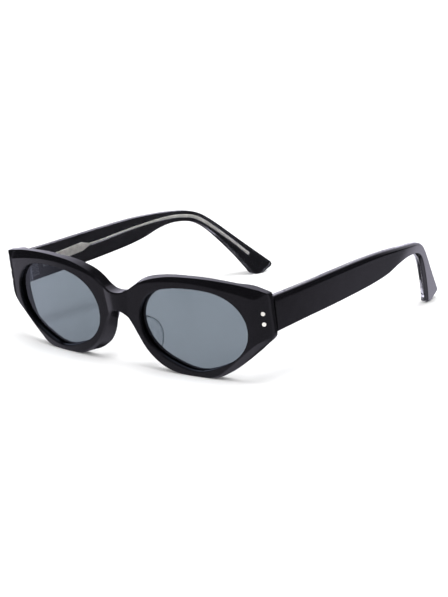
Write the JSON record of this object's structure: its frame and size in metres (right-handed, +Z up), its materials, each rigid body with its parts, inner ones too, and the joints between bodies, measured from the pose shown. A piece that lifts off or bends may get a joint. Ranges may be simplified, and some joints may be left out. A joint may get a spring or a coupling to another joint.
{
  "type": "cat eye sunglasses",
  "caption": "Thick acetate cat eye sunglasses with tinted lenses, moulded nose pads, riveted end pieces and folding temples with a core wire.",
  "frame": {"origin": "on the floor plane, in the middle of the glasses' width and of their length from the lenses to the temple tips", "axes": "+X towards the wearer's left, +Y from the lenses back along the open temples, +Z up; the glasses rest on the floor z = 0 on their lens rims and temple tips"},
  "size_m": [0.1434, 0.1426, 0.0396],
  "materials": {
    "acetate_black": "polished black acetate",
    "acetate_crystal": "polished clear acetate",
    "lens_tint": "smooth blue-grey tint",
    "nickel_silver": "satin"
  },
  "bodies": {
    "front": {"front_rim": "acetate_black", "lens_left": "lens_tint", "nose_pad_left": "acetate_crystal", "front_hinge_left": "nickel_silver", "hinge_screw_left": "nickel_silver", "front_rivet_upper_left": "nickel_silver", "front_rivet_lower_left": "nickel_silver", "lens_right": "lens_tint", "nose_pad_right": "acetate_crystal", "front_hinge_right": "nickel_silver", "hinge_screw_right": "nickel_silver", "front_rivet_upper_right": "nickel_silver", "front_rivet_lower_right": "nickel_silver"},
    "temple_left": {"temple_outer_left": "acetate_black", "temple_inner_left": "acetate_crystal", "core_wire_left": "nickel_silver", "temple_hinge_left": "nickel_silver"},
    "temple_right": {"temple_outer_right": "acetate_black", "temple_inner_right": "acetate_crystal", "core_wire_right": "nickel_silver", "temple_hinge_right": "nickel_silver"}
  },
  "joints": [
    {"name": "temple_left_fold", "type": "hinge", "parent": "front", "child": "temple_left", "pos_m": [0.0649, -0.0562, 0.02669], "axis": [0, -0.0767, 0.9971], "range_deg": [0, 84]},
    {"name": "temple_right_fold", "type": "hinge", "parent": "front", "child": "temple_right", "pos_m": [-0.0649, -0.0562, 0.02669], "axis": [0, 0.0767, -0.9971], "range_deg": [0, 70]}
  ]
}
